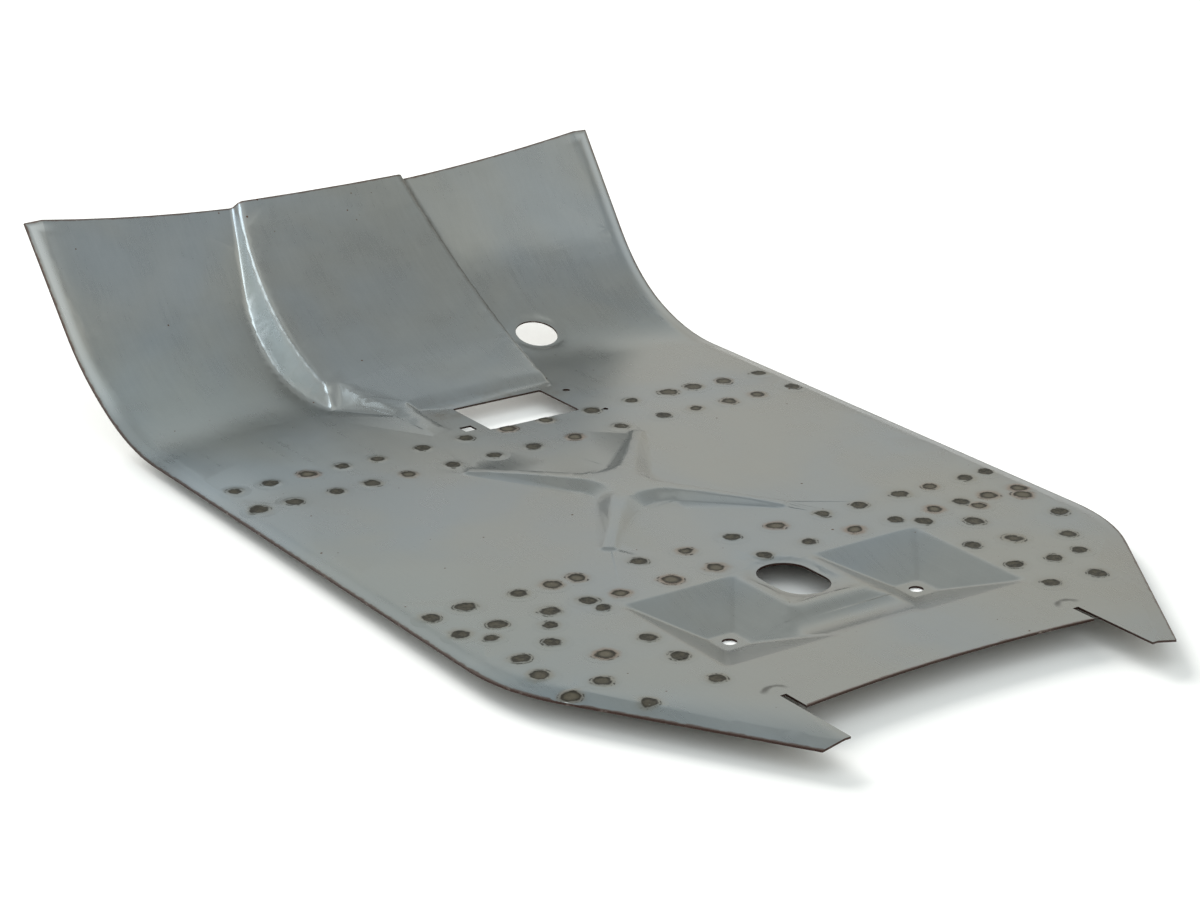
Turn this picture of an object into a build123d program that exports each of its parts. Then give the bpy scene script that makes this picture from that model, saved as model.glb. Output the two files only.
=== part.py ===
from build123d import *
from math import atan, cos, degrees, radians, sin, sqrt, tan
import os

# Pressed steel floorboard of a step-through scooter, with its welded reinforcements underneath.
# Millimetres. X runs across, Y forwards and Z up. While it is built, the rider's side of the floor
# lies on z = 0 and the front row of spot welds on y = 0; the finished parts are then moved together
# so that the origin lies under the middle of the whole board.

# Sheet of the pressing
sheet = 1.2

# Plan outline
half_width = 212.0
flare_start_y = 150.0
flare_angle = 3.0
flare_radius = 600.0
corner_y = -324.0
corner_radius = 115.0
tail_tip_y = -470.0
tail_tip_outer = 119.0
tail_inner = 101.5
slit_width = 4.0
slit_end_y = -412.5
rear_edge_y = -429.5
rear_edge_bow = 5.5

# Margin bent down along both sides and round the rear corners
lip_width = 11.5
lip_angle = 14.0

# Upswept front: bend and shield are turned about one upright axis behind the board,
# so the shield wraps round towards the rider
bend_start = 96.0
bend_radius = 143.0
shield_angle = 51.5
wrap_axis_y = -800.0
wrap_half_turn = 18.0
shield_top_y = 244.9
shield_top_z = 93.0
shield_top_slope = 48.0
shield_top_radius = 3080.0

# Raised centre of the shield
channel_start = 15.5
channel_rise = 8.8
channel_sweep = 55.0
channel_half_width = 56.1
channel_flare = 12.8
channel_lean = 24.5
channel_shoulder_radius = 4.0
channel_foot_radius = 3.0
channel_foot_height = 5.0

# Cross bead in the middle of the floor
bead_centre_y = -126.0
bead_reach_x = 64.0
bead_reach_y = 77.0
bead_half_width = 16.0
bead_tip_half_width = 5.0
bead_height = 5.0
bead_wall_taper = 60.0
bead_crotch_radius = 18.0
bead_tip_radius = 3.0
bead_crest_radius = 2.5
bead_fade_reach = 112.0

# Hopper-shaped seats for the two stand bolts
pad_centre_x = 65.0
pad_centre_y = -320.5
pad_width = 75.0
pad_length = 97.0
pad_depth = 13.0
pad_seat = 19.0
pad_valley_radius = 7.0
pad_rim_radius = 8.0
stand_bolt_hole = 8.5

# Shallow trough that runs from one seat to the other
trough_centre_y = -346.0
trough_length = 46.0
trough_depth = 5.0
trough_rim_share = 0.4

# Oval cable opening in its sunk seat
cable_y = -292.0
cable_length = 48.0
cable_width = 32.0
cable_seat_rim = 5.0
cable_seat_depth = 1.2

# Pedal opening in a level flat let into the foot of the raised centre
pedal_left = -11.0
pedal_right = 56.0
pedal_rear = 5.0
pedal_front = 52.0
pedal_corner_radius = 1.5
flat_left = -33.0
flat_right = 69.0
flat_front = 62.0
flat_left_slope = 60.0
flat_right_slope = 20.0
flat_front_slope = 36.0
flat_rise = 9.0
square_hole = 8.5
square_hole_x = -22.0
square_hole_y = 15.0
clip_hole = 5.0
clip_hole_x = 70.0
clip_hole_front_y = 42.0
clip_hole_rear_y = -2.5

# Left corner taken off the toe of the raised centre, so that a rim is left beside the flat
toe_left = -48.0
toe_corner_y = 60.0
toe_end_x = -71.0
toe_end_y = 91.0
toe_slope = 45.0

# Round opening beside the raised centre, in a flat seat that touches the bend where it has this slope
round_hole = 29.0
round_hole_x = 107.8
round_hole_slope = 18.5
round_seat_rim = 4.5
round_seat_depth = 0.5

# Hat-section cross members, spot-welded through their flanges
front_row_y = 0.0
front_row_gap = 35.0
rear_row_y = -227.0
rear_row_gap = 30.0
member_gauge = 1.5
member_depth = 10.0
member_bend_radius = 1.5
member_half_length = 199.0
flange_outside = 4.0
flange_inside = 6.0
member_wall_run = 2.5

# Reinforcing plates under the rear corners
plate_gauge = 1.5
plate_inner_x = 107.5
plate_front_y = -264.5
plate_rear_y = -396.0
plate_margin = 4.0

# Working room round the finished shape for the solids it is cut from
form_depth = 45.0
room = 60.0
side_room = 8.0
hopper_lift = 2.0
tolerance = 0.001


def side_outline(grow):
    """Plan of the two long sides and the rear corners, let out by grow."""
    tail = Vector(tail_tip_outer - half_width, tail_tip_y - corner_y).normalized()
    rear_x = tail_tip_outer + tail.X * room
    rear_y = tail_tip_y + tail.Y * room
    front_y = shield_top_y + room
    front_x = half_width + (front_y - flare_start_y) * tan(radians(flare_angle))
    with BuildSketch() as plan:
        with BuildLine():
            Polyline(
                (front_x, front_y),
                (half_width, flare_start_y),
                (half_width, corner_y),
                (rear_x, rear_y),
                (-rear_x, rear_y),
                (-half_width, corner_y),
                (-half_width, flare_start_y),
                (-front_x, front_y),
                close=True,
            )
        make_face()
        if grow:
            offset(amount=grow, kind=Kind.INTERSECTION)
        for side in (1, -1):
            fillet(plan.vertices().sort_by_distance((side * half_width, corner_y))[0], corner_radius + grow)
            fillet(plan.vertices().sort_by_distance((side * half_width, flare_start_y))[0], flare_radius - grow)
    return plan.sketch


def rear_cut():
    """Plan of what is cut away at the back: rear edge, slits and the ends of the two tails."""
    slit_x = tail_inner - slit_width
    past = tail_tip_y - 2 * room
    with BuildSketch() as plan:
        with BuildLine():
            ThreePointArc((-slit_x, rear_edge_y), (0, rear_edge_y + rear_edge_bow), (slit_x, rear_edge_y))
            Polyline(
                (slit_x, rear_edge_y),
                (slit_x, slit_end_y),
                (tail_inner, slit_end_y),
                (tail_inner, tail_tip_y),
                (half_width, tail_tip_y),
                (half_width, past),
                (-half_width, past),
                (-half_width, tail_tip_y),
                (-tail_inner, tail_tip_y),
                (-tail_inner, slit_end_y),
                (-slit_x, slit_end_y),
                (-slit_x, rear_edge_y),
            )
        make_face()
    return plan.sketch


def base_form(depth):
    """Solid under the floor, the bend and the wrapped shield, its skin lowered by depth."""
    angle = radians(shield_angle)
    radius = bend_radius + depth
    toe_y = bend_start + radius * sin(angle)
    toe_z = bend_radius - radius * cos(angle)
    run = (shield_top_y - toe_y) / cos(angle) + room
    tip_y = toe_y + run * cos(angle)
    tip_z = toe_z + run * sin(angle)
    axis = Axis((0, wrap_axis_y, 0), (0, 0, 1))
    sag = (bend_start - wrap_axis_y) * (1 - cos(radians(wrap_half_turn)))
    join_y = bend_start - sag
    with BuildSketch(Plane.YZ) as section:
        with BuildLine():
            CenterArc((bend_start, bend_radius), radius, -90, shield_angle)
            Polyline(
                (toe_y, toe_z),
                (tip_y, tip_z),
                (tip_y + room, tip_z),
                (tip_y + room, -form_depth),
                (join_y - room, -form_depth),
                (join_y - room, -depth),
                (bend_start, -depth),
            )
        make_face()
    shield = revolve(section.sketch, axis, 2 * wrap_half_turn).rotate(axis, -wrap_half_turn)
    floor = Pos(0, join_y, -depth) * Box(
        2 * (half_width + room),
        join_y - tail_tip_y + 2 * room,
        form_depth - depth,
        align=(Align.CENTER, Align.MAX, Align.MAX),
    )
    return floor + shield


def foot_shift(slope, depth):
    """How far a wall's foot moves out where the skin is lowered by depth."""
    return depth * tan(radians(slope) / 2)


def pedal_flat(depth):
    """Air over the level flat round the pedal opening, sloping out at its front and sides."""
    low = -depth
    high = flat_rise - depth
    rear = channel_start - room
    left = flat_left - foot_shift(flat_left_slope, depth)
    right = flat_right + foot_shift(flat_right_slope, depth)
    front = flat_front + foot_shift(flat_front_slope, depth)
    with BuildSketch(Plane.XZ) as across:
        with BuildLine():
            Polyline(
                (left, low),
                (right, low),
                (right + flat_rise / tan(radians(flat_right_slope)), high),
                (left - flat_rise / tan(radians(flat_left_slope)), high),
                close=True,
            )
        make_face()
    with BuildSketch(Plane.YZ) as along:
        with BuildLine():
            Polyline(
                (rear, low),
                (front, low),
                (front + flat_rise / tan(radians(flat_front_slope)), high),
                (rear, high),
                close=True,
            )
        make_face()
    lengthways = extrude(across.sketch, amount=2 * flat_front, both=True)
    crossways = extrude(along.sketch, amount=half_width, both=True)
    return lengthways & crossways


def beside_toe(depth):
    """Air that takes the left corner off the toe of the raised centre and leaves a rim beside the flat."""
    rear = channel_start - room
    with BuildSketch(Plane.XY.offset(-depth)) as plan:
        with BuildLine():
            Polyline(
                (toe_left, rear),
                (toe_left, toe_corner_y),
                (toe_end_x, toe_end_y),
                (toe_end_x - room, toe_end_y),
                (toe_end_x - room, rear),
                close=True,
            )
        make_face()
        if depth:
            offset(amount=foot_shift(toe_slope, depth), kind=Kind.INTERSECTION)
    return extrude(plan.sketch, amount=2 * flat_rise, taper=toe_slope - 90.0)


def channel_radius():
    """Radius at which the raised centre stands channel_rise proud of the shield along the top edge's plane."""
    angle = radians(shield_angle)
    slope = radians(shield_top_slope)
    toe_y = bend_start + bend_radius * sin(angle)
    toe_z = bend_radius * (1 - cos(angle))
    run = (shield_top_y - toe_y) * sin(slope) + (shield_top_z - toe_z) * cos(slope)
    run = run / sin(angle + slope)
    top_y = toe_y + run * cos(angle) - channel_rise * cos(slope) - channel_start
    top_z = toe_z + run * sin(angle) + channel_rise * sin(slope)
    return (top_y**2 + top_z**2) / (2 * top_z)


def channel_form(depth):
    """Raised centre: a wider bend than the shield's, between two leaning flat walls."""
    middle = (channel_start, channel_radius())
    radius = channel_radius() + depth
    with BuildSketch(Plane.YZ) as section:
        with BuildLine():
            arc = CenterArc(middle, radius, -90, channel_sweep)
            end = arc @ 1
            Polyline(
                (end.X, end.Y),
                (end.X, -form_depth),
                (channel_start, -form_depth),
                (channel_start, -depth),
            )
        make_face()
    solid = extrude(section.sketch, amount=2 * channel_half_width, both=True)
    flare = tan(radians(channel_flare))
    lean = tan(radians(channel_lean))
    reach = channel_half_width - depth * sqrt(1 + flare**2 + lean**2)
    for side in (1, -1):
        wall = Plane(origin=(side * reach, 0, 0), z_dir=(side, -flare, lean))
        solid = split(solid, bisect_by=wall, keep=Keep.BOTTOM)
    shoulders = solid.edges().filter_by(GeomType.ELLIPSE)
    return fillet(shoulders, channel_shoulder_radius - depth)


def raise_channel(form, depth):
    """Set the raised centre on the form, round its feet off and let the pedal flat into it."""
    form += channel_form(depth)
    start_y = channel_start + sqrt(2 * channel_radius() * channel_foot_height)
    across = Plane(origin=(0, start_y, 0), z_dir=(0, 1, 0))
    front = split(form, bisect_by=across, keep=Keep.TOP)
    rear = split(form, bisect_by=across, keep=Keep.BOTTOM)
    foot_y = start_y + channel_foot_height
    foot_x = channel_half_width + foot_y * tan(radians(channel_flare))
    feet = [front.edges().sort_by_distance((side * foot_x, foot_y, -depth))[0] for side in (1, -1)]
    front = fillet(feet, channel_foot_radius + depth)
    return front + rear - pedal_flat(depth) - beside_toe(depth)


def bead_form(depth):
    """Crossed ridge that fades out along its four arms."""
    inset = depth * tan(radians(90.0 - bead_wall_taper) / 2)
    half = bead_half_width - inset
    tip = bead_tip_half_width - inset
    reach = sqrt(bead_reach_x**2 + bead_reach_y**2)
    slant = degrees(atan(bead_reach_y / bead_reach_x))
    with BuildSketch(Plane.XY.offset(-depth)) as plan:
        for turn in (slant, -slant):
            with BuildLine(Pos(0, bead_centre_y) * Rot(0, 0, turn)):
                Polyline(
                    (-reach, -tip),
                    (0, -half),
                    (reach, -tip),
                    (reach, tip),
                    (0, half),
                    (-reach, tip),
                    close=True,
                )
            make_face()
        middle = (0, bead_centre_y, 0)
        fillet(plan.vertices().sort_by_distance(middle)[:4], bead_crotch_radius + inset)
        fillet(plan.vertices().sort_by_distance(middle)[-8:], bead_tip_radius - inset)
    ridge = extrude(plan.sketch, amount=bead_height + sheet, taper=bead_wall_taper)
    dome = bead_fade_reach**2 / (2 * bead_height)
    ridge = ridge & Pos(0, bead_centre_y, bead_height - dome - depth) * Sphere(dome)
    if depth:
        return ridge  # the crest is rounded on the rider's side only
    crest = ridge.faces().filter_by(GeomType.SPHERE).edges()
    return fillet(crest, bead_crest_radius)


def hopper(width, length, floor_width, floor_length, deep):
    """Four-sided funnel of air with its mouth on z = 0, carried on a little above the mouth."""
    spread = (deep + hopper_lift) / deep
    run_x = (width - floor_width) / 2 * spread
    run_y = (length - floor_length) / 2 * spread
    funnel = Wedge(
        floor_width + 2 * run_x,
        deep + hopper_lift,
        floor_length + 2 * run_y,
        run_x,
        run_y,
        run_x + floor_width,
        run_y + floor_length,
        rotation=(-90, 0, 0),
        align=(Align.CENTER, Align.MIN, Align.CENTER),
    )
    return Pos(0, 0, hopper_lift) * funnel


def bolt_seat(depth):
    """Air in one bolt seat, its inner corners rounded."""
    seat = hopper(pad_width, pad_length, pad_seat, pad_seat, pad_depth)
    slanting = seat.edges().filter_by(lambda e: abs((e @ 1).Z - (e @ 0).Z) > pad_depth / 2)
    seat = fillet(slanting, pad_valley_radius + depth)
    return fillet(seat.edges().group_by(Axis.Z)[0], pad_valley_radius + depth)


def seat_trough(depth):
    """Air in the trough between the seats: three arcs that leave and meet the floor without a crease."""
    half = trough_length / 2
    turn = 2 * atan(trough_depth / half)
    both = half / sin(turn)
    rim = both * trough_rim_share
    valley = both - rim
    joint_y = (rim - depth) * sin(turn)
    joint_z = -rim + (rim - depth) * cos(turn)
    with BuildSketch(Plane.YZ) as section:
        with BuildLine(Pos(trough_centre_y, 0)):
            ThreePointArc(
                (-half, -depth),
                (-half + (rim - depth) * sin(turn / 2), -rim + (rim - depth) * cos(turn / 2)),
                (-half + joint_y, joint_z),
            )
            ThreePointArc((-half + joint_y, joint_z), (0, -trough_depth - depth), (half - joint_y, joint_z))
            ThreePointArc(
                (half - joint_y, joint_z),
                (half - (rim - depth) * sin(turn / 2), -rim + (rim - depth) * cos(turn / 2)),
                (half, -depth),
            )
            Polyline((half, -depth), (half, hopper_lift), (-half, hopper_lift), (-half, -depth))
        make_face()
    return extrude(section.sketch, amount=pad_centre_x - pad_seat / 2, both=True)


def sink_seats(form, depth):
    """Sink the two bolt seats, round their rims over, and press the trough between them."""
    seat = bolt_seat(depth)
    for side in (1, -1):
        form -= Pos(side * pad_centre_x, pad_centre_y, -depth) * seat
        reach_x = pad_width / 2 + tolerance
        reach_y = pad_length / 2 + tolerance
        rim = form.edges().filter_by(
            lambda e: abs(e.center().Z + depth) < tolerance
            and abs(e.center().X - side * pad_centre_x) < reach_x
            and abs(e.center().Y - pad_centre_y) < reach_y
        )
        form = fillet(rim, pad_rim_radius - depth)
    return form - seat_trough(depth)


def cable_seat(depth):
    """Air in the sunk seat round the oval cable opening."""
    rim = 2 * (cable_seat_rim + depth)
    plan = Rot(0, 0, 90) * SlotOverall(cable_length + rim, cable_width + rim)
    return Pos(0, cable_y, -cable_seat_depth - depth) * extrude(plan, amount=form_depth)


def round_seat_plane():
    """Plane that touches the bend in the middle of the round opening."""
    slope = radians(round_hole_slope)
    reach = bend_start + bend_radius * sin(slope) - wrap_axis_y
    out = Vector(round_hole_x, sqrt(reach**2 - round_hole_x**2)) / reach
    return Plane(
        origin=(round_hole_x, wrap_axis_y + out.Y * reach, bend_radius * (1 - cos(slope))),
        x_dir=(out.Y, -out.X, 0),
        z_dir=(-out.X * sin(slope), -out.Y * sin(slope), cos(slope)),
    )


def round_seat(depth):
    """Air over the flat seat of the round opening."""
    seat = round_seat_plane().offset(-round_seat_depth - depth) * Circle(round_hole / 2 + round_seat_rim + depth)
    return extrude(seat, amount=form_depth)


def bend_lips(form, depth, grow):
    """Trim the form to its sides and slope the margin down from the crease."""
    form = form & extrude(side_outline(grow), amount=4 * room, both=True)
    reach = lip_width + grow + depth * tan(radians(lip_angle) / 2)
    drop = reach * tan(radians(lip_angle))
    for side in (1, -1):
        edge_x = side * (half_width + grow)
        on_floor = form.edges().filter_by(lambda e: abs(e.center().Z + depth) < tolerance)
        edge = on_floor.filter_by(GeomType.LINE).filter_by(lambda e: abs(e.center().X - edge_x) < tolerance)
        floor = form.faces().filter_by(GeomType.PLANE).filter_by(lambda f: abs(f.center().Z + depth) < tolerance)
        form = chamfer(edge, reach, drop, reference=floor.sort_by(SortBy.AREA)[-1])
    return form


def press_form(depth, grow):
    """Solid under the whole pressed skin, with the skin lowered by depth."""
    form = raise_channel(base_form(depth), depth) + bead_form(depth)
    form = sink_seats(form, depth)
    form -= cable_seat(depth)
    form -= round_seat(depth)
    return bend_lips(form, depth, grow)


def above_shield():
    """Everything above the bowed top edge of the shield."""
    slope = radians(shield_top_slope)
    across = Plane(
        origin=(0, shield_top_y, shield_top_z), x_dir=(1, 0, 0), z_dir=(0, -cos(slope), sin(slope))
    )
    span = half_width + room
    rise = shield_top_radius - sqrt(shield_top_radius**2 - span**2)
    with BuildSketch(across) as plan:
        with BuildLine():
            ThreePointArc((-span, rise), (0, 0), (span, rise))
            Polyline((span, rise), (span, rise + 2 * room), (-span, rise + 2 * room), (-span, rise))
        make_face()
    return extrude(plan.sketch, amount=2 * room, both=True)


def openings():
    """Everything pierced through the pressing."""
    through = 2 * form_depth
    pedal_middle = ((pedal_left + pedal_right) / 2, (pedal_rear + pedal_front) / 2)
    with BuildSketch() as plan:
        with Locations((pad_centre_x, pad_centre_y), (-pad_centre_x, pad_centre_y)):
            Circle(stand_bolt_hole / 2)
        with Locations((0, cable_y)):
            SlotOverall(cable_length, cable_width, rotation=90)
        with Locations(pedal_middle):
            RectangleRounded(pedal_right - pedal_left, pedal_front - pedal_rear, pedal_corner_radius)
        with Locations((square_hole_x, square_hole_y)):
            Rectangle(square_hole, square_hole)
        with Locations((clip_hole_x, clip_hole_front_y), (clip_hole_x, clip_hole_rear_y)):
            Circle(clip_hole / 2)
    upright = extrude(plan.sketch, amount=through, both=True)
    tilted = round_seat_plane() * Cylinder(round_hole / 2, through)
    return upright + tilted


def floor_panel():
    """The one-piece pressing: trimmed, slit at the back and pierced."""
    panel = press_form(0, 0) - press_form(sheet, side_room)
    panel -= extrude(rear_cut(), amount=form_depth, both=True)
    return panel - above_shield() - openings()


def cross_member(row_y, row_gap):
    """Shallow hat section; a row of welds runs along each flange."""
    top = -sheet
    low = top - member_depth + member_gauge
    front_y = row_y
    rear_y = row_y - row_gap
    with BuildSketch(Plane.YZ) as section:
        with BuildLine():
            FilletPolyline(
                (front_y + flange_outside, top),
                (front_y - flange_inside, top),
                (front_y - flange_inside - member_wall_run, low),
                (rear_y + flange_inside + member_wall_run, low),
                (rear_y + flange_inside, top),
                (rear_y - flange_outside, top),
                radius=member_bend_radius,
            )
            offset(amount=member_gauge, side=Side.LEFT)
        make_face()
    return extrude(section.sketch, amount=member_half_length, both=True)


def corner_plate(side):
    """Flat reinforcing plate inside the crease of one rear corner."""
    with BuildSketch() as plan:
        add(side_outline(-lip_width - plate_margin))
        with BuildLine():
            Polyline(
                (side * plate_inner_x, plate_front_y),
                (side * half_width, plate_front_y),
                (side * half_width, plate_rear_y),
                (side * plate_inner_x, plate_rear_y),
                close=True,
            )
        make_face(mode=Mode.INTERSECT)
    return Pos(0, 0, -sheet) * extrude(plan.sketch, amount=-plate_gauge)


if __name__ == "__main__":
    parts = {
        "floor_panel": floor_panel(),
        "front_cross_member": cross_member(front_row_y, front_row_gap) - openings(),
        "rear_cross_member": cross_member(rear_row_y, rear_row_gap),
        "rear_left_corner_plate": corner_plate(-1),
        "rear_right_corner_plate": corner_plate(1),
    }
    box = Compound(list(parts.values())).bounding_box()
    to_origin = Pos(-box.center().X, -box.center().Y, -box.min.Z)
    os.makedirs("parts", exist_ok=True)
    for name, part in parts.items():
        export_step(to_origin * part, f"parts/{name}.step")
    print("moved by", to_origin.position, "size", box.size)
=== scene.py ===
import math
import random

import bpy
from mathutils import Matrix, Vector


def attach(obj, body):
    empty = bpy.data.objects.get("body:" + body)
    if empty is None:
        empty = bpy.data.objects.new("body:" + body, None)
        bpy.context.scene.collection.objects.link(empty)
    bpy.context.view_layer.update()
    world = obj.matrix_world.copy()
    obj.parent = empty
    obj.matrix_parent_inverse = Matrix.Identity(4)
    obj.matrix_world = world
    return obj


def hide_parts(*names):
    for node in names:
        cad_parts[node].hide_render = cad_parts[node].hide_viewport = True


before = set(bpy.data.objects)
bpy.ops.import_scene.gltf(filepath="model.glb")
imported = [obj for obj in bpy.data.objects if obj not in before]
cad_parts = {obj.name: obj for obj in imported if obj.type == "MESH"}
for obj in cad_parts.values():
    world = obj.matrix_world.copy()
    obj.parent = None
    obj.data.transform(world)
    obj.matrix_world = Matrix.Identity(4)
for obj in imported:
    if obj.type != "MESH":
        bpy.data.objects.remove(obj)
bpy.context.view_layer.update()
random.seed(7)
print("frame loaded:", sorted(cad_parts))


# helpers for shader nodes

def newNode(tree, kind, **settings):
    node = tree.nodes.new(kind)
    for name, value in settings.items():
        setattr(node, name, value)
    return node


def setSocket(tree, socket, value):
    # numbers and colours are set on the socket, outputs are linked to it
    if isinstance(value, (int, float)):
        socket.default_value = value
    elif isinstance(value, tuple):
        socket.default_value = (*value, 1)
    else:
        tree.links.new(value, socket)


def mathNode(tree, operation, *values):
    node = newNode(tree, "ShaderNodeMath", operation=operation)
    for socket, value in zip(node.inputs, values):
        setSocket(tree, socket, value)
    return node.outputs[0]


def times(tree, product, *others):
    for other in others:
        product = mathNode(tree, "MULTIPLY", product, other)
    return product


def centred(tree, noise, push):
    # a noise turned into a push of either sign
    return mathNode(tree, "MULTIPLY_ADD", noise, push, -push / 2)


def rising(tree, value, span, low=0.0, high=1.0):
    node = newNode(tree, "ShaderNodeMapRange", interpolation_type="SMOOTHSTEP")
    tree.links.new(value, node.inputs["Value"])
    node.inputs["From Min"].default_value = span[0]
    node.inputs["From Max"].default_value = span[1]
    node.inputs["To Min"].default_value = low
    node.inputs["To Max"].default_value = high
    return node.outputs["Result"]


def fading(tree, value, span, high=1.0):
    return rising(tree, value, span, high, 0.0)


def mixColour(tree, factor, first, second, blend="MIX"):
    node = newNode(tree, "ShaderNodeMix", data_type="RGBA", blend_type=blend)
    setSocket(tree, node.inputs[0], factor)
    setSocket(tree, node.inputs[6], first)
    setSocket(tree, node.inputs[7], second)
    return node.outputs[2]


def noiseNode(tree, vector, scale, detail, roughness, distortion=0.0):
    node = newNode(tree, "ShaderNodeTexNoise")
    node.inputs["Scale"].default_value = scale
    node.inputs["Detail"].default_value = detail
    node.inputs["Roughness"].default_value = roughness
    node.inputs["Distortion"].default_value = distortion
    tree.links.new(vector, node.inputs["Vector"])
    return node.outputs["Fac"]


def placeOf(tree):
    return newNode(tree, "ShaderNodeTexCoord").outputs["Object"]


def splitPlace(tree):
    spot = newNode(tree, "ShaderNodeSeparateXYZ")
    tree.links.new(placeOf(tree), spot.inputs[0])
    return spot.outputs


def newGroup(name, inputs, outputs):
    tree = bpy.data.node_groups.new(name, "ShaderNodeTree")
    for label, kind in inputs:
        tree.interface.new_socket(label, in_out="INPUT", socket_type="NodeSocket" + kind)
    for label, kind in outputs:
        tree.interface.new_socket(label, in_out="OUTPUT", socket_type="NodeSocket" + kind)
    return tree, tree.nodes.new("NodeGroupInput").outputs, tree.nodes.new("NodeGroupOutput").inputs


def placeGroup(tree, group, **values):
    node = newNode(tree, "ShaderNodeGroup", node_tree=group)
    for label, value in values.items():
        setSocket(tree, node.inputs[label], value)
    return node.outputs


# where the board's cut edges run, read from the place on the board, in metres

boardEdge = {
    "halfWidth": 0.212,
    "flareStart": 0.264,
    "flareSlope": math.tan(math.radians(3)),
    "cornerY": -0.2099,
    "tailSlant": (0.8434, 0.5373),
    "cornerBlend": 0.0285,
    "rearY": -0.3154,
    "rearBow": 0.0055,
    "rearHalf": 0.097,
    "topY": 0.3590,
    "topZ": 0.1072,
    "topUp": (0.7431, 0.6691),
    "topRadius": 3.08,
}


def makeEdgeGroup():
    size = boardEdge
    tree, _, out = newGroup("boardEdge", [], [("Distance", "Float")])
    x, y, z = splitPlace(tree)
    side = mathNode(tree, "ABSOLUTE", x)
    flare = mathNode(tree, "MAXIMUM", mathNode(tree, "SUBTRACT", y, size["flareStart"]), 0.0)
    reach = mathNode(tree, "MULTIPLY_ADD", flare, size["flareSlope"], size["halfWidth"])
    fromSide = mathNode(tree, "SUBTRACT", reach, side)
    # the two slanting rear sides
    across, along = size["tailSlant"]
    acrossTail = times(tree, mathNode(tree, "SUBTRACT", size["halfWidth"], side), across)
    alongTail = times(tree, mathNode(tree, "SUBTRACT", y, size["cornerY"]), along)
    fromTail = mathNode(tree, "ADD", acrossTail, alongTail)
    edge = mathNode(tree, "SMOOTH_MIN", fromSide, fromTail, size["cornerBlend"])
    # the bowed rear edge between the slits
    bow = mathNode(tree, "POWER", mathNode(tree, "DIVIDE", side, size["rearHalf"]), 2.0)
    rearLine = mathNode(tree, "MULTIPLY_ADD", bow, -size["rearBow"], size["rearY"] + size["rearBow"])
    outside = mathNode(tree, "GREATER_THAN", side, size["rearHalf"])
    fromRear = mathNode(tree, "ADD", mathNode(tree, "SUBTRACT", y, rearLine), outside)
    edge = mathNode(tree, "MINIMUM", edge, fromRear)
    # the shield's top edge
    upY = times(tree, mathNode(tree, "SUBTRACT", y, size["topY"]), size["topUp"][0])
    upZ = times(tree, mathNode(tree, "SUBTRACT", z, size["topZ"]), size["topUp"][1])
    rise = times(tree, mathNode(tree, "POWER", side, 2.0), 0.5 / size["topRadius"])
    fromTop = mathNode(tree, "SUBTRACT", rise, mathNode(tree, "ADD", upY, upZ))
    tree.links.new(mathNode(tree, "MINIMUM", edge, fromTop), out["Distance"])
    return tree


# finishes shared by all the steel; a noise is its scale, detail, roughness and distortion

satinSheet = {
    "patches": (7.0, 3.0, 0.5, 0.6),
    "patchSpan": (0.36, 0.66),
    "clouds": (26.0, 5.0, 0.62, 0.3),
    "cloudShade": (0.22, 0.89),  # how much the clouds add, and the shade without them
    "streaks": (1.0, 3.0, 0.6),
    "streakStretch": (420.0, 9.0, 60.0),
    "tooth": (1500.0, 2.0, 0.6),
    "toothShade": 0.10,
    "cloudDull": 0.16,
    "streakDull": 0.08,
}


def makeSteelGroup():
    # broad warm and cool patches, rolling streaks and a fine tooth
    sheet = satinSheet
    tree, use, out = newGroup("satinSteel",
                              [("Warm", "Color"), ("Cool", "Color"), ("Dull", "Float"), ("Streaks", "Float")],
                              [("Color", "Color"), ("Roughness", "Float"), ("Height", "Float")])
    place = placeOf(tree)
    stretched = newNode(tree, "ShaderNodeMapping")
    stretched.inputs["Scale"].default_value = sheet["streakStretch"]
    tree.links.new(place, stretched.inputs["Vector"])
    patches = rising(tree, noiseNode(tree, place, *sheet["patches"]), sheet["patchSpan"])
    clouds = noiseNode(tree, place, *sheet["clouds"])
    streaks = noiseNode(tree, stretched.outputs["Vector"], *sheet["streaks"])
    tooth = noiseNode(tree, place, *sheet["tooth"])
    colour = mixColour(tree, patches, use["Warm"], use["Cool"])
    shade = mathNode(tree, "ADD", mathNode(tree, "MULTIPLY_ADD", clouds, *sheet["cloudShade"]),
                     times(tree, mathNode(tree, "SUBTRACT", streaks, 0.5), use["Streaks"]))
    shade = mathNode(tree, "ADD", shade, centred(tree, tooth, sheet["toothShade"]))
    grey = newNode(tree, "ShaderNodeCombineColor")
    for socket in grey.inputs:
        tree.links.new(shade, socket)
    tree.links.new(mixColour(tree, 1.0, colour, grey.outputs[0], "MULTIPLY"), out["Color"])
    rough = mathNode(tree, "ADD", use["Dull"], centred(tree, clouds, sheet["cloudDull"]))
    rough = mathNode(tree, "ADD", rough, centred(tree, streaks, sheet["streakDull"]))
    tree.links.new(rough, out["Roughness"])
    height = mathNode(tree, "ADD", times(tree, streaks, 0.5), times(tree, tooth, 0.5))
    tree.links.new(height, out["Height"])
    return tree


rustSpeck = {
    "cells": 260.0,
    "size": 0.16,
    "ragged": (900.0, 3.0, 0.6),
    "raggedPush": 0.16,
    "fade": (0.0, 0.07),
    "dark": (0.045, 0.022, 0.012),
    "light": (0.16, 0.075, 0.035),
}


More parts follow.
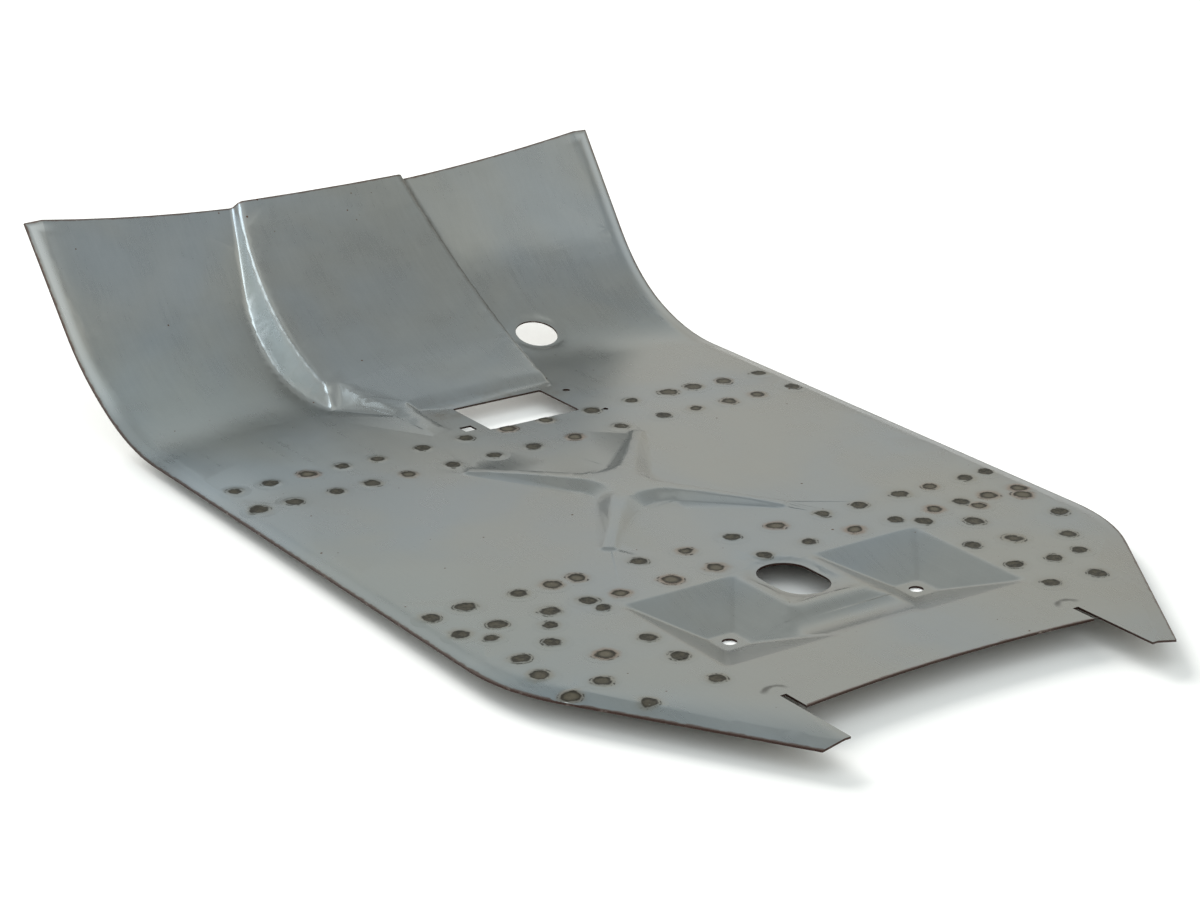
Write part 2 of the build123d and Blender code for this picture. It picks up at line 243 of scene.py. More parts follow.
def makeRustGroup():
    # scattered pin specks, thicker where the sheet has stood wet
    speck = rustSpeck
    tree, use, out = newGroup("rustSpecks", [("Amount", "Float")], [("Mask", "Float"), ("Color", "Color")])
    place = placeOf(tree)
    cells = newNode(tree, "ShaderNodeTexVoronoi")
    cells.inputs["Scale"].default_value = speck["cells"]
    cells.inputs["Randomness"].default_value = 1.0
    tree.links.new(place, cells.inputs["Vector"])
    keep = newNode(tree, "ShaderNodeSeparateColor")
    tree.links.new(cells.outputs["Color"], keep.inputs[0])
    chosen = mathNode(tree, "LESS_THAN", keep.outputs[0], use["Amount"])
    ragged = noiseNode(tree, place, *speck["ragged"])
    radius = times(tree, keep.outputs[1], speck["size"])
    radius = mathNode(tree, "MULTIPLY_ADD", ragged, speck["raggedPush"], radius)
    spot = rising(tree, mathNode(tree, "SUBTRACT", radius, cells.outputs["Distance"]), speck["fade"])
    tree.links.new(times(tree, spot, chosen), out["Mask"])
    tree.links.new(mixColour(tree, ragged, speck["dark"], speck["light"]), out["Color"])
    return tree


edgeGroup = makeEdgeGroup()
steelGroup = makeSteelGroup()
rustGroup = makeRustGroup()
print("finish groups made")


# bare sheet steel

panelFinish = {
    "warm": (0.280, 0.279, 0.256),
    "cool": (0.258, 0.274, 0.276),
    # painted shade, darker and cooler, on the floor's left side
    "leftShadeTint": (0.86, 0.94, 0.97),
    # painted reflection, paler and bluer, on the front-left bend
    "bendSheenTint": (1.14, 1.20, 1.24),
    "dull": 0.29,
    "streaks": 0.10,
    "metallic": 0.85,
    "rustAmount": 0.012,
    "speckRust": 0.30,  # where the shield's middle has stood wet
    "speckDull": 0.3,
    "edgeRust": (0.085, 0.040, 0.024),
    # painted highlight along the turned-down margin
    "edgeHighlight": (0.56, 0.58, 0.58),
    "stain": (0.150, 0.118, 0.078),
    # dark colour for the grime and scorches, and for the painted shade lines in creases
    "grimeAndShade": (0.085, 0.078, 0.066),
    "dirtAndShadeDull": 0.2,
    "tooth": 0.008,
    "toothTall": 0.0002,
    "waves": 0.00022,
    "waveNoise": (11.0, 2.0, 0.45),
}

# where the panel has been wetted, scorched and stained, and where its painted highlight, shade and reflection lie,
# in metres
panelWear = {
    "wetHeight": (0.085, 0.115),
    "wetSide": (0.02, 0.10),
    # where the painted shade on the floor's left side lies
    "leftShadeAcross": (-0.21, -0.06),
    "leftShadeAlong": (0.0, 0.16),
    "leftShadeShare": 0.6,
    # where the painted reflection on the front-left bend lies
    "bendSheenAcross": (-0.17, -0.06),
    "bendSheenAlong": (0.07, 0.13),
    "bendSheenHeight": (0.03, 0.07),
    "ragged": (160.0, 4.0, 0.65),
    # the painted highlight band and the painted shade line in the crease, measured from the cut edge
    "edgeHighlightFrom": (0.0016, 0.0034),  # from the cut edge
    "edgeHighlightTo": (0.0050, 0.0088),
    "creaseShadeFrom": (0.0072, 0.0092),
    "creaseShadeTo": (0.0100, 0.0130),
    "creaseShadeShare": 0.55,
    "shieldHeight": (0.012, 0.045),
    "shieldShare": (0.25, 0.9),
    "sideEnd": 0.235,
    "sideWidth": (0.0, 0.045),
    "creepWidth": 0.0022,
    "creepFade": (-0.0006, 0.0008),
    "creepShare": 0.8,
    # where the painted shade line along the raised centre's right foot lies
    "footShadePlane": (0.8913, -0.2023, 0.4064, -0.0327),
    "footShadeWidth": (0.0010, 0.0042),
    "footShadeAlong": (0.20, 0.26),
    "footShadeRagged": (0.9, 0.1),
    "slitEnd": (0.0995, -0.2935),
    "slitRing": 0.0065,
    "slitRagged": 0.005,
    "slitWidth": (0.0026, 0.0052),
    "slitAhead": (-0.001, 0.005),
    "slitShare": 0.75,
    "flatMiddle": (0.018, 0.164),
    "flatAcross": (0.035, 0.062),
    "flatAlong": (0.004, 0.020),
    "flatNoise": (45.0, 5.0, 0.7),
    "flatSpan": (0.42, 0.66),
    "flatShare": (0.05, 0.6),
}


def newMaterial(name):
    material = bpy.data.materials.new(name)
    material.use_nodes = True
    return material, material.node_tree, material.node_tree.nodes["Principled BSDF"]


def bumpChain(tree, shader, steps):
    # each step is a height, how tall it is in metres and how strongly it shows
    normal = None
    for height, tall, strength in steps:
        bump = newNode(tree, "ShaderNodeBump")
        bump.inputs["Strength"].default_value = strength
        bump.inputs["Distance"].default_value = tall
        tree.links.new(height, bump.inputs["Height"])
        if normal:
            tree.links.new(normal, bump.inputs["Normal"])
        normal = bump.outputs["Normal"]
    tree.links.new(normal, shader.inputs["Normal"])


def satinOf(tree, finish):
    return placeGroup(tree, steelGroup, Warm=finish["warm"], Cool=finish["cool"],
                      Dull=finish["dull"], Streaks=finish["streaks"])


def panelSkin(tree, finish):
    # colour and roughness of the pressing, with its painted shade and painted reflection, also under the weld marks
    wear = panelWear
    steel = satinOf(tree, finish)
    x, y, z = splitPlace(tree)
    side = mathNode(tree, "ABSOLUTE", x)
    # specks gather on the upper middle of the shield
    wet = times(tree, rising(tree, z, wear["wetHeight"]), fading(tree, side, wear["wetSide"]))
    amount = mathNode(tree, "MULTIPLY_ADD", wet, finish["speckRust"], finish["rustAmount"])
    rust = placeGroup(tree, rustGroup, Amount=amount)
    # painted shade: the left side of the floor is darkened and cooled, fading out towards the front
    paintedLeftShade = times(tree, fading(tree, x, wear["leftShadeAcross"], wear["leftShadeShare"]), fading(tree, y, wear["leftShadeAlong"]))
    colour = mixColour(tree, paintedLeftShade, steel["Color"], finish["leftShadeTint"], "MULTIPLY")
    # painted reflection: the low bend at the front left is made paler and bluer
    paintedBendSheen = times(tree, fading(tree, x, wear["bendSheenAcross"]), rising(tree, y, wear["bendSheenAlong"]),
                 fading(tree, z, wear["bendSheenHeight"]))
    colour = mixColour(tree, paintedBendSheen, colour, finish["bendSheenTint"], "MULTIPLY")
    colour = mixColour(tree, rust["Mask"], colour, rust["Color"])
    rough = mathNode(tree, "MULTIPLY_ADD", rust["Mask"], finish["speckDull"], steel["Roughness"])
    return colour, rough, steel["Height"], (x, y, z, side)


def pressedSteel(finish):
    wear = panelWear
    material, tree, shader = newMaterial("panelSteel")
    shader.inputs["Metallic"].default_value = finish["metallic"]
    colour, rough, tooth, (x, y, z, side) = panelSkin(tree, finish)
    edge = placeGroup(tree, edgeGroup)["Distance"]
    place = placeOf(tree)
    ragged = noiseNode(tree, place, *wear["ragged"])
    # painted highlight: a bright band along the turned-down margin, most on the shield's sides
    onShield = rising(tree, z, wear["shieldHeight"], *wear["shieldShare"])
    nearSide = fading(tree, mathNode(tree, "SUBTRACT", wear["sideEnd"], side), wear["sideWidth"])
    edgeHighlightMask = times(tree, rising(tree, edge, wear["edgeHighlightFrom"]), fading(tree, edge, wear["edgeHighlightTo"]),
                   onShield, nearSide)
    colour = mixColour(tree, edgeHighlightMask, colour, finish["edgeHighlight"])
    # painted shade: a dark line along the margin's crease
    creaseShade = times(tree, rising(tree, edge, wear["creaseShadeFrom"]),
                   fading(tree, edge, wear["creaseShadeTo"], wear["creaseShadeShare"]), onShield, nearSide)
    colour = mixColour(tree, creaseShade, colour, finish["grimeAndShade"])
    # a thin ragged rust line creeps in from the cut edges
    creep = mathNode(tree, "SUBTRACT", times(tree, ragged, wear["creepWidth"]), edge)
    creep = rising(tree, creep, wear["creepFade"], 0.0, wear["creepShare"])
    colour = mixColour(tree, creep, colour, finish["edgeRust"])
    # painted shade: a dark line in the crease along the raised centre's right foot
    alongX, alongY, alongZ, offset = wear["footShadePlane"]
    footShade = mathNode(tree, "MULTIPLY_ADD", z, alongZ, offset)
    footShade = mathNode(tree, "MULTIPLY_ADD", y, alongY, footShade)
    footShade = mathNode(tree, "MULTIPLY_ADD", x, alongX, footShade)
    footShade = times(tree, fading(tree, mathNode(tree, "ABSOLUTE", footShade), wear["footShadeWidth"]),
                 rising(tree, y, wear["footShadeAlong"]), mathNode(tree, "MULTIPLY_ADD", ragged, *wear["footShadeRagged"]))
    colour = mixColour(tree, footShade, colour, finish["grimeAndShade"])
    # scorched ends of the two slits
    slitX, slitY = wear["slitEnd"]
    ahead = mathNode(tree, "SUBTRACT", y, slitY)
    slit = newNode(tree, "ShaderNodeCombineXYZ")
    tree.links.new(mathNode(tree, "SUBTRACT", side, slitX), slit.inputs[0])
    tree.links.new(ahead, slit.inputs[1])
    reach = newNode(tree, "ShaderNodeVectorMath", operation="LENGTH")
    tree.links.new(slit.outputs[0], reach.inputs[0])
    ring = mathNode(tree, "ABSOLUTE", mathNode(tree, "SUBTRACT", reach.outputs["Value"], wear["slitRing"]))
    ring = mathNode(tree, "MULTIPLY_ADD", ragged, wear["slitRagged"], ring)
    scorch = times(tree, fading(tree, ring, wear["slitWidth"], wear["slitShare"]),
                   rising(tree, ahead, wear["slitAhead"]))
    colour = mixColour(tree, scorch, colour, finish["grimeAndShade"])
    # brown stains on the flat around the pedal opening
    acrossFlat = mathNode(tree, "ABSOLUTE", mathNode(tree, "SUBTRACT", x, wear["flatMiddle"][0]))
    alongFlat = mathNode(tree, "ABSOLUTE", mathNode(tree, "SUBTRACT", y, wear["flatMiddle"][1]))
    blotch = rising(tree, noiseNode(tree, place, *wear["flatNoise"]), wear["flatSpan"], *wear["flatShare"])
    stain = times(tree, fading(tree, acrossFlat, wear["flatAcross"]), fading(tree, alongFlat, wear["flatAlong"]),
                  blotch)
    colour = mixColour(tree, stain, colour, finish["stain"])
    tree.links.new(colour, shader.inputs["Base Color"])
    # rougher where the rust line, the scorches and the painted shade at the foot lie
    dirtAndShade = mathNode(tree, "ADD", mathNode(tree, "MAXIMUM", creep, footShade), scorch)
    tree.links.new(mathNode(tree, "MULTIPLY_ADD", dirtAndShade, finish["dirtAndShadeDull"], rough), shader.inputs["Roughness"])
    waves = noiseNode(tree, place, *finish["waveNoise"])
    bumpChain(tree, shader, [(waves, finish["waves"], 1.0), (tooth, finish["toothTall"], finish["tooth"])])
    return material


cutFinish = {
    "rust": (0.036, 0.015, 0.010),
    "bright": (0.22, 0.19, 0.17),
    "dull": 0.55,
    "metallic": 0.5,
    "worn": (90.0, 4.0, 0.7),
    "wornSpan": (0.58, 0.72),
    "grit": (1200.0, 2.0, 0.6),
    "gritTall": 0.0002,
    "gritShow": 0.4,
}


def cutSteel(finish):
    # sheared edge: rust with a bright burr line showing through
    material, tree, shader = newMaterial("cutSteel")
    shader.inputs["Metallic"].default_value = finish["metallic"]
    shader.inputs["Roughness"].default_value = finish["dull"]
    place = placeOf(tree)
    worn = rising(tree, noiseNode(tree, place, *finish["worn"]), finish["wornSpan"])
    tree.links.new(mixColour(tree, worn, finish["rust"], finish["bright"]), shader.inputs["Base Color"])
    bumpChain(tree, shader, [(noiseNode(tree, place, *finish["grit"]), finish["gritTall"], finish["gritShow"])])
    return material


underStain = {"noise": (38.0, 5.0, 0.65), "span": (0.55, 0.75), "share": 0.45, "dull": 0.3}
memberFinish = dict(panelFinish, warm=(0.235, 0.235, 0.225), cool=(0.215, 0.22, 0.225), dull=0.40, rustAmount=0.05)
plateFinish = dict(panelFinish, warm=(0.25, 0.25, 0.24), cool=(0.23, 0.235, 0.24), dull=0.38, rustAmount=0.05)


def underSteel(name, finish):
    material, tree, shader = newMaterial(name)
    shader.inputs["Metallic"].default_value = finish["metallic"]
    steel = satinOf(tree, finish)
    rust = placeGroup(tree, rustGroup, Amount=finish["rustAmount"])
    stain = rising(tree, noiseNode(tree, placeOf(tree), *underStain["noise"]), underStain["span"],
                   0.0, underStain["share"])
    colour = mixColour(tree, stain, steel["Color"], finish["grimeAndShade"])
    colour = mixColour(tree, rust["Mask"], colour, rust["Color"])
    rough = mathNode(tree, "MULTIPLY_ADD", stain, underStain["dull"], steel["Roughness"])
    tree.links.new(colour, shader.inputs["Base Color"])
    tree.links.new(rough, shader.inputs["Roughness"])
    bumpChain(tree, shader, [(steel["Height"], finish["toothTall"], finish["tooth"])])
    return material


# the pressed floor panel

pressing = {
    "mergeWithin": 0.000005,
    "longestEdge": 0.2,
    "edgeShrink": 0.7,
    "faceSize": 0.0042,
    "flatWithin": 2.0,
    "relaxShare": 0.5,
    "relaxRounds": 10,
    "sharpFrom": 50.0,
    "roundHole": (0.10784, 0.249605, 0.020547),
    "roundAxis": (-0.036336, -0.315217, 0.948324),
    "roundReach": (0.0152, 0.026),  # the hole's own wall, and the little step around its seat
    "ovalY": -0.1779,
    "ovalHalf": 0.008,
    "ovalReach": (0.0168, 0.026),
    "wallFacing": 0.2,
    "topFrom": 0.33,
    "topFacing": 0.95,
}


def deselectAll():
    bpy.ops.object.select_all(action="DESELECT")


def isCutEdge(face):
    size = pressing
    axis = Vector(size["roundAxis"])
    off = face.center - Vector(size["roundHole"])
    fromHole = (off - off.dot(axis) * axis).length
    if fromHole < size["roundReach"][0]:
        return abs(face.normal.dot(axis)) < size["wallFacing"]
    if fromHole < size["roundReach"][1]:
        return False
    alongOval = max(abs(face.center.y - size["ovalY"]) - size["ovalHalf"], 0)
    fromOval = math.hypot(face.center.x, alongOval)
    if size["ovalReach"][0] < fromOval < size["ovalReach"][1]:
        return False
    facesUp = face.normal.dot(Vector((0, *boardEdge["topUp"]))) > size["topFacing"]
    return (face.center.y > size["topFrom"] and facesUp) or abs(face.normal.z) < size["wallFacing"]


def refineFaces(piece):
    # long edges are halved until the faces are small and even
    size = pressing
    length = size["longestEdge"]
    while length > size["faceSize"]:
        length = max(length * size["edgeShrink"], size["faceSize"])
        points = piece.data.vertices
        for part in (*points, *piece.data.edges, *piece.data.polygons):
            part.select = False
        for edge in piece.data.edges:
            first, second = edge.vertices
            edge.select = (points[first].co - points[second].co).length > length
        bpy.ops.object.mode_set(mode="EDIT")
        bpy.ops.mesh.subdivide(number_cuts=1)
        bpy.ops.mesh.select_all(action="SELECT")
        bpy.ops.mesh.beautify_fill(angle_limit=math.radians(size["flatWithin"]))
        bpy.ops.object.mode_set(mode="OBJECT")


def dressPanel():
    # a merged and refined copy of the pressing: its creases are relaxed a little, as a press tool leaves them,
    # and its cut edges take their own steel
    size = pressing
    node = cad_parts["floor_panel"]
    panel = bpy.data.objects.new("pressedPanel", node.data.copy())
    bpy.context.scene.collection.objects.link(panel)
    deselectAll()
    panel.select_set(True)
    bpy.context.view_layer.objects.active = panel
    bpy.ops.mesh.customdata_custom_splitnormals_clear()
    bpy.ops.object.mode_set(mode="EDIT")
    bpy.ops.mesh.select_mode(type="EDGE")
    bpy.ops.mesh.select_all(action="SELECT")
    bpy.ops.mesh.remove_doubles(threshold=size["mergeWithin"])
    bpy.ops.object.mode_set(mode="OBJECT")
    panel.data.materials.clear()
    panel.data.materials.append(pressedSteel(panelFinish))
    panel.data.materials.append(cutSteel(cutFinish))
    for face in panel.data.polygons:
        face.material_index = 1 if isCutEdge(face) else 0
    refineFaces(panel)
    # everything but the cut edges is free to settle
    held = {index for face in panel.data.polygons if face.material_index for index in face.vertices}
    free = panel.vertex_groups.new(name="pressed")
    free.add([point.index for point in panel.data.vertices if point.index not in held], 1.0, "REPLACE")
    relax = panel.modifiers.new("relax", "SMOOTH")
    relax.factor = size["relaxShare"]
    relax.iterations = size["relaxRounds"]
    relax.vertex_group = free.name
    bpy.ops.object.modifier_apply(modifier=relax.name)
    bpy.ops.object.shade_smooth_by_angle(angle=math.radians(size["sharpFrom"]))
    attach(panel, "root")
    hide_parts("floor_panel")
    print("panel dressed:", len(panel.data.polygons), "faces")
    return panel


panel = dressPanel()
memberSteel = underSteel("memberSteel", memberFinish)
plateSteel = underSteel("plateSteel", plateFinish)
dressing = {
    "front_cross_member": memberSteel,
    "rear_cross_member": memberSteel,
    "rear_left_corner_plate": plateSteel,
    "rear_right_corner_plate": plateSteel,
}
for nodeName, material in dressing.items():
    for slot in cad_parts[nodeName].material_slots:
        slot.material = material
print("steel on", len(dressing), "reinforcements")


# spot welds: one mark is modelled, then copied along the rows and over the corner clusters

weldMark = {
    "sides": 28,
    # radius and height over the sheet, millimetres, from the outside in
    "rings": [(11.0, 0.02), (9.0, 0.03), (7.2, 0.05), (6.2, 0.10),
              (5.4, 0.28), (4.6, 0.22), (3.4, 0.08), (1.7, 0.05)],
    "sizeSpread": 0.10,
    "wide": (0.97, 1.05),
    "tall": (0.95, 1.02),
    "stray": 1.2,
    "lookFrom": 0.05,
    "lowest": 0.0082,  # a mark never hangs below the floor's lip
    "pullSteps": 50,
}

# across and along the board, millimetres
weldRows = {
    "frontWeldsFore": (114.1, [-195, -171, -145, -121, -97, -64, -33, -2, 27, 61, 93, 123, 143, 166, 195]),
    "frontWeldsAft": (79.1, [-197, -174, -145, -121, -95, -64, -34, -6, 25, 60, 94, 119, 145, 168, 197]),
    "rearWeldsFore": (-112.9, [-197, -173, -140, -118, -101, -59, -28, 6, 38, 72, 98, 130, 153, 180, 197]),
    "rearWeldsAft": (-142.9, [-195, -172, -139, -114, -93, -59, -28, 5, 38, 72, 101, 131, 152, 172, 195]),
}

weldClusters = {
    "leftCornerWelds": [(-184, -154.9), (-149, -157.9), (-113, -154.9), (-160, -178.9), (-186, -186.9),
                        (-189, -209.9), (-188, -236.9), (-166, -232.9), (-161, -266.9), (-146, -205.9),
                        (-115, -200.9), (-115, -228.9), (-116, -262.9)],
    "rightCornerWelds": [(113, -154.9), (156, -154.9), (138, -171.9), (190, -154.9), (189, -187.9),
                         (139, -202.9), (169, -215.9), (158, -238.9), (138, -239.9), (143, -268.9),
                         (113, -197.9), (113, -232.9), (112, -264.9)],
}


def makeWeldMark():
    size = weldMark
    deselectAll()
    bpy.ops.mesh.primitive_circle_add(vertices=size["sides"], radius=size["rings"][0][0] / 1000, fill_type="NGON",
                                      location=(0, 0, 0))
    mark = bpy.context.object
    mark.name = "weldMark"
    bpy.ops.object.mode_set(mode="EDIT")
    bpy.ops.mesh.select_mode(type="FACE")
    bpy.ops.mesh.select_all(action="SELECT")
    bpy.ops.transform.translate(value=(0, 0, size["rings"][0][1] / 1000))
    for (outer, low), (inner, high) in zip(size["rings"], size["rings"][1:]):
        bpy.ops.mesh.inset(thickness=(outer - inner) / 1000)
        bpy.ops.transform.translate(value=(0, 0, (high - low) / 1000))
    bpy.ops.mesh.poke()
    bpy.ops.object.mode_set(mode="OBJECT")
    bpy.ops.object.shade_smooth()
    ring = mark.data.attributes.new("ring", "FLOAT", "POINT")
    for vertex in mark.data.vertices:
        ring.data[vertex.index].value = vertex.co.to_2d().length * 1000  # millimetres from the middle
    return mark


def copyMark(mark, spot):
    size = weldMark
    copy = mark.copy()
    copy.data = mark.data.copy()
    bpy.context.scene.collection.objects.link(copy)
    swell = 1 + random.uniform(-1, 1) * size["sizeSpread"]
    centre = Vector((spot[0] / 1000, spot[1] / 1000, 0))
    turn = Matrix.Rotation(random.uniform(0, 2 * math.pi), 4, "Z")
    stretch = Matrix.Diagonal((swell * random.uniform(*size["wide"]), swell * random.uniform(*size["tall"]), 1, 1))
    copy.data.transform(Matrix.Translation(centre) @ turn @ stretch)
    # the mark follows the sheet under it, and stops short of an edge or an opening
    for vertex in copy.data.vertices:
        over = vertex.co.z
        for step in range(size["pullSteps"] + 1):
            point = centre.lerp(vertex.co, 1 - step / size["pullSteps"])
            hit, where, _, _ = panel.ray_cast((point.x, point.y, size["lookFrom"]), (0, 0, -1))
            if hit and where.z > size["lowest"]:
                vertex.co = (point.x, point.y, where.z + over)
                break
    mood = copy.data.attributes.new("mood", "FLOAT", "POINT")
    mood.data.foreach_set("value", [random.random()] * len(copy.data.vertices))
    return copy


def joinMarks(name, marks):
    deselectAll()
    for mark in marks:
        mark.select_set(True)
    bpy.context.view_layer.objects.active = marks[0]
    bpy.ops.object.join()
    marks[0].name = name
    marks[0].data.name = name
    return marks[0]


# lengths are millimetres from the middle of the mark
weldBurn = {
    "burn": (0.074, 0.063, 0.040),
    "rim": (0.022, 0.018, 0.011),
    "scorch": (0.165, 0.142, 0.100),
    "haze": (0.195, 0.172, 0.122),
    "redHaze": (0.205, 0.135, 0.085),
    "shine": 0.12,  # burnt oxide has little shine
    "shove": (95.0, 2.0, 0.5),
    "shovePush": 5.0,
    "wobble": (330.0, 4.0, 0.65),
    "wobblePush": 3.2,
    "grit": (1100.0, 3.0, 0.7),
    "gritTall": 0.0003,
    "gritShow": 0.5,
    "hazeFade": (4.5, 9.6),
    "hazeShare": (0.5, 0.25),
    "redFrom": (0.6, 0.95),
    "arcAt": 6.0,
    "arcWidth": (0.15, 0.75),
    "arcGaps": (0.42, 0.50),
    "arcShare": 0.8,
    "arcBreaks": (0.46, 0.54),
    "burnFade": (4.3, 5.7),
    "burnShare": 0.95,
    "paleFade": (1.6, 3.8),
    "paleFrom": (0.35, 1.0),
    "paleShare": 0.75,
    "coreSpan": (0.38, 0.62),
    "rimFrom": (3.4, 4.3),
    "rimTo": (4.6, 5.5),
    "rimShare": 0.75,
    "lessMetal": -0.6,
    "moreDull": 0.22,
}


def burntSteel(finish):
    burn = weldBurn
    material, tree, shader = newMaterial("burntSteel")
    shader.inputs["Specular IOR Level"].default_value = burn["shine"]
    skin, rough, tooth, _ = panelSkin(tree, finish)
    place = placeOf(tree)
    ring = newNode(tree, "ShaderNodeAttribute", attribute_name="ring").outputs["Fac"]
    mood = newNode(tree, "ShaderNodeAttribute", attribute_name="mood").outputs["Fac"]
    shove = noiseNode(tree, place, *burn["shove"])
    wobble = noiseNode(tree, place, *burn["wobble"])
    grit = noiseNode(tree, place, *burn["grit"])
    # no burn is round: its edge is pushed in and out
    reach = mathNode(tree, "ADD", ring, centred(tree, shove, burn["shovePush"]))
    reach = mathNode(tree, "ADD", reach, centred(tree, wobble, burn["wobblePush"]))
    hazeMask = times(tree, fading(tree, reach, burn["hazeFade"]),
                     mathNode(tree, "MULTIPLY_ADD", mood, *burn["hazeShare"]))
    haze = mixColour(tree, rising(tree, mood, burn["redFrom"]), burn["haze"], burn["redHaze"])
    colour = mixColour(tree, hazeMask, skin, haze)
    # loose broken arcs outside the burn
    arcAt = mathNode(tree, "SUBTRACT", reach, mathNode(tree, "ADD", mood, burn["arcAt"]))
    arcMask = times(tree, fading(tree, mathNode(tree, "ABSOLUTE", arcAt), burn["arcWidth"]),
                    fading(tree, shove, burn["arcGaps"], burn["arcShare"]), rising(tree, wobble, burn["arcBreaks"]))
    colour = mixColour(tree, arcMask, colour, burn["rim"])
    # the burn itself: an older one has a paler middle, and each has a dark rim
    core = mixColour(tree, rising(tree, wobble, burn["coreSpan"]), burn["rim"], burn["burn"])
    paler = times(tree, fading(tree, reach, burn["paleFade"]),
                  rising(tree, mood, burn["paleFrom"], 0.0, burn["paleShare"]))
    core = mixColour(tree, paler, core, burn["scorch"])
    rimMask = times(tree, rising(tree, reach, burn["rimFrom"]),
                    fading(tree, reach, burn["rimTo"], burn["rimShare"]))
    core = mixColour(tree, rimMask, core, burn["rim"])
    burnMask = fading(tree, reach, burn["burnFade"], burn["burnShare"])
    colour = mixColour(tree, burnMask, colour, core)
    covered = mathNode(tree, "MAXIMUM", burnMask, arcMask)
    metal = mathNode(tree, "MULTIPLY_ADD", covered, burn["lessMetal"], finish["metallic"])
    dull = mathNode(tree, "MULTIPLY_ADD", covered, burn["moreDull"], rough)
    tree.links.new(colour, shader.inputs["Base Color"])
    tree.links.new(metal, shader.inputs["Metallic"])
    tree.links.new(dull, shader.inputs["Roughness"])
    waves = noiseNode(tree, place, *finish["waveNoise"])
    crust = times(tree, grit, covered)
    bumpChain(tree, shader, [(waves, finish["waves"], 1.0), (tooth, finish["toothTall"], finish["tooth"]),
                             (crust, burn["gritTall"], burn["gritShow"])])
    return material


markPattern = makeWeldMark()
markPattern.data.materials.append(burntSteel(panelFinish))
rowSpots = {name: [(x, y) for x in row] for name, (y, row) in weldRows.items()}
for pieceName, spots in {**rowSpots, **weldClusters}.items():
    marks = []
    for x, y in spots:
        marks.append(copyMark(markPattern, (x, y + random.uniform(-weldMark["stray"], weldMark["stray"]))))
    piece = joinMarks(pieceName, marks)
    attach(piece, "root")
    print(pieceName, len(spots), "marks")
bpy.data.objects.remove(markPattern)


# pale studio floor; the board leans a little on it, on its two bolt seats and the front cross member

studioFloor = {
    "size": 64.0,
    "touchRear": (-0.2064, 0.0),  # along the board and up
    "touchFront": (0.0966, 0.003),
    "below": 0.0002,
    "tone": (0.95, 0.935, 0.90),
    "dull": 0.9,
    "shine": 0.1,
}


def makeFloor():
    size = studioFloor
    deselectAll()
    bpy.ops.mesh.primitive_plane_add(size=size["size"], location=(0, 0, 0))
    ground = bpy.context.object
    ground.name = "studioFloor"
    rearY, rearZ = size["touchRear"]
    frontY, frontZ = size["touchFront"]
    rise = (frontZ - rearZ) / (frontY - rearY)
    for vertex in ground.data.vertices:
        vertex.co.z = rearZ + (vertex.co.y - rearY) * rise - size["below"]
    material, tree, shader = newMaterial("paleFloor")
    shader.inputs["Base Color"].default_value = (*size["tone"], 1)
    shader.inputs["Roughness"].default_value = size["dull"]
    shader.inputs["Specular IOR Level"].default_value = size["shine"]
    ground.data.materials.append(material)
    return ground


ground = makeFloor()
print("floor laid")


# soft studio light: a sky that is brightest low down, a cool glow from the upper left, a broad one from above the
# camera, and a wash on the floor alone

studioLight = {
    # how steeply the sky is looked at, and its colour there
    "sky": [(0.00, (1.00, 1.00, 1.00)), (0.04, (0.90, 0.90, 0.90)), (0.11, (0.50, 0.50, 0.49)),
            (0.24, (0.90, 0.90, 0.88)), (0.36, (0.91, 0.905, 0.865)), (0.42, (0.94, 0.945, 0.92)),
            (0.48, (1.40, 1.48, 1.50)), (0.55, (0.96, 0.99, 1.00)), (0.63, (0.83, 0.92, 0.98)),
            (0.72, (0.67, 0.735, 0.765)), (0.93, (0.60, 0.64, 0.66)), (1.00, (1.10, 1.18, 1.21))],
    "skyStrength": 1.0,
    "rightTint": (0.93, 0.915, 0.87),
    "rightFrom": (0.48, 0.66),
    "rightBelow": (0.45, 0.55),
    "leftGlow": {"towards": (-0.799, -0.050, 0.599), "reach": (0.905, 0.98), "colour": (4.8, 5.6, 6.3)},
    "rearGlow": {"towards": (-0.60, -0.80, 0.0), "reach": (0.02, 0.36), "colour": (1.30, 1.35, 1.34)},
    "glowAbove": (0.45, 0.60),
    "washFrom": (0.05, 0.90, 0.43),
    "washSpread": 34.0,
    "washPower": 3.6,
}


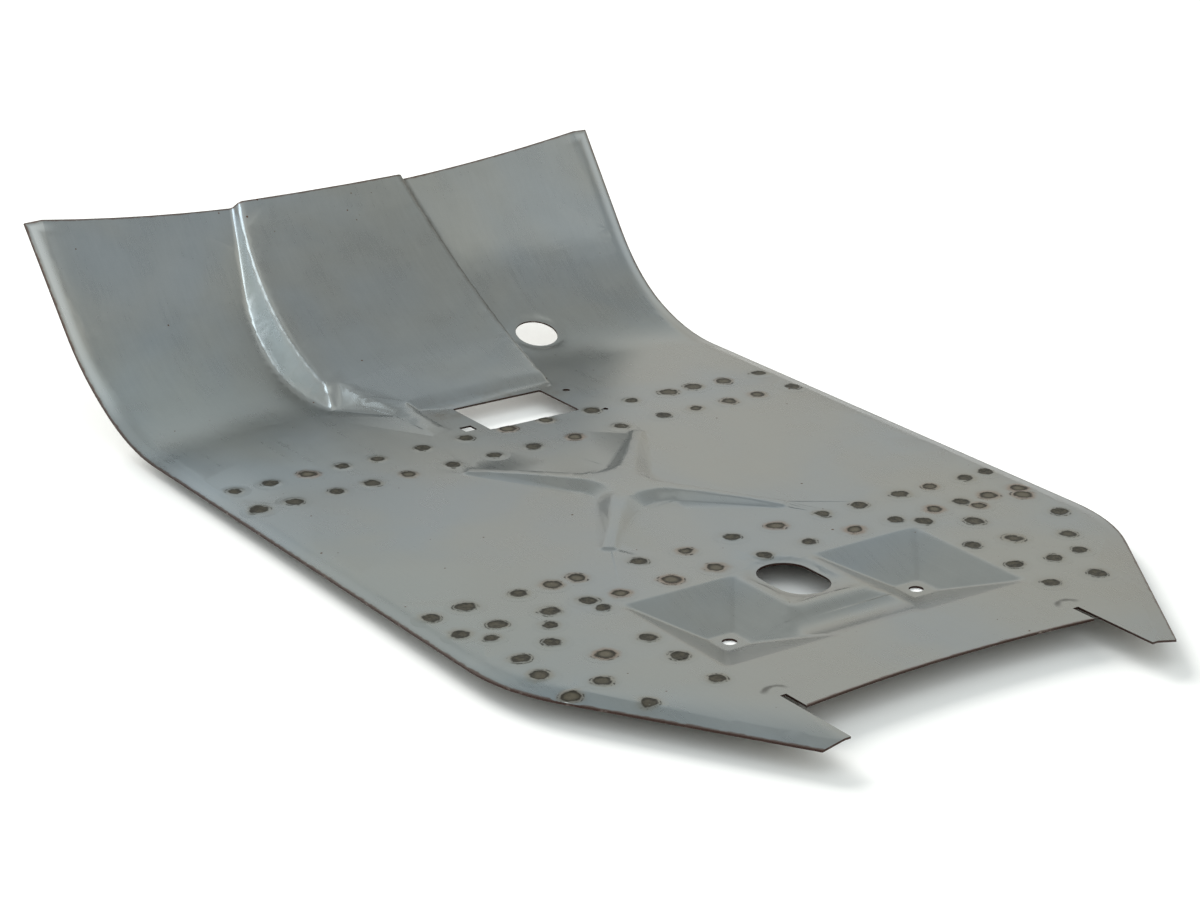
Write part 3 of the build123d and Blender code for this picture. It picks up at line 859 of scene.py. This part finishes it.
def makeSky():
    size = studioLight
    world = bpy.data.worlds.new("studioSky")
    bpy.context.scene.world = world
    world.use_nodes = True
    tree = world.node_tree
    towards = newNode(tree, "ShaderNodeTexCoord").outputs["Generated"]
    direction = newNode(tree, "ShaderNodeSeparateXYZ")
    tree.links.new(towards, direction.inputs[0])
    right, _, up = direction.outputs
    ramp = newNode(tree, "ShaderNodeValToRGB")
    ramp.color_ramp.interpolation = "EASE"
    stops = ramp.color_ramp.elements
    while len(stops) < len(size["sky"]):
        stops.new(0.5)
    for stop, (position, colour) in zip(stops, size["sky"]):
        stop.position = position
        stop.color = (*colour, 1)
    tree.links.new(up, ramp.inputs[0])
    # the right-hand sky is a little warmer
    warm = times(tree, rising(tree, right, size["rightFrom"]), fading(tree, up, size["rightBelow"]))
    colour = mixColour(tree, warm, ramp.outputs[0], size["rightTint"], "MULTIPLY")
    # the glows are for the metal, not the floor, and stay clear of the low light
    onMetal = newNode(tree, "ShaderNodeLightPath").outputs["Is Glossy Ray"]
    seen = times(tree, rising(tree, up, size["glowAbove"]), onMetal)
    for glow in (size["rearGlow"], size["leftGlow"]):
        facing = newNode(tree, "ShaderNodeVectorMath", operation="DOT_PRODUCT")
        tree.links.new(towards, facing.inputs[0])
        facing.inputs[1].default_value = glow["towards"]
        mask = times(tree, rising(tree, facing.outputs["Value"], glow["reach"]), seen)
        colour = mixColour(tree, mask, colour, glow["colour"])
    sky = tree.nodes["Background"]
    sky.inputs["Strength"].default_value = size["skyStrength"]
    tree.links.new(colour, sky.inputs["Color"])


def makeWash(lit):
    size = studioLight
    lamp = bpy.data.lights.new("floorWash", "SUN")
    lamp.energy = size["washPower"]
    lamp.angle = math.radians(size["washSpread"])
    wash = bpy.data.objects.new("floorWash", lamp)
    bpy.context.scene.collection.objects.link(wash)
    wash.rotation_euler = Vector(size["washFrom"]).to_track_quat("Z", "Y").to_euler()
    onlyFloor = bpy.data.collections.new("onlyFloor")
    onlyFloor.objects.link(lit)
    wash.light_linking.receiver_collection = onlyFloor


makeSky()
makeWash(ground)
print("light set")


# camera at the photograph's angle

shot = {"place": (-0.9593, -1.4002, 0.6608), "turn": (69.74, 0.0, -34.16), "lens": 90.67, "sensor": 36, "far": 60}


def makeCamera():
    camera = bpy.data.cameras.new("photoCamera")
    camera.sensor_fit = "HORIZONTAL"
    camera.sensor_width = shot["sensor"]
    camera.lens = shot["lens"]
    camera.clip_end = shot["far"]
    view = bpy.data.objects.new("photoCamera", camera)
    bpy.context.scene.collection.objects.link(view)
    view.location = shot["place"]
    view.rotation_euler = [math.radians(angle) for angle in shot["turn"]]
    bpy.context.scene.camera = view


makeCamera()
bpy.context.scene.view_settings.view_transform = "Standard"
print("camera set")
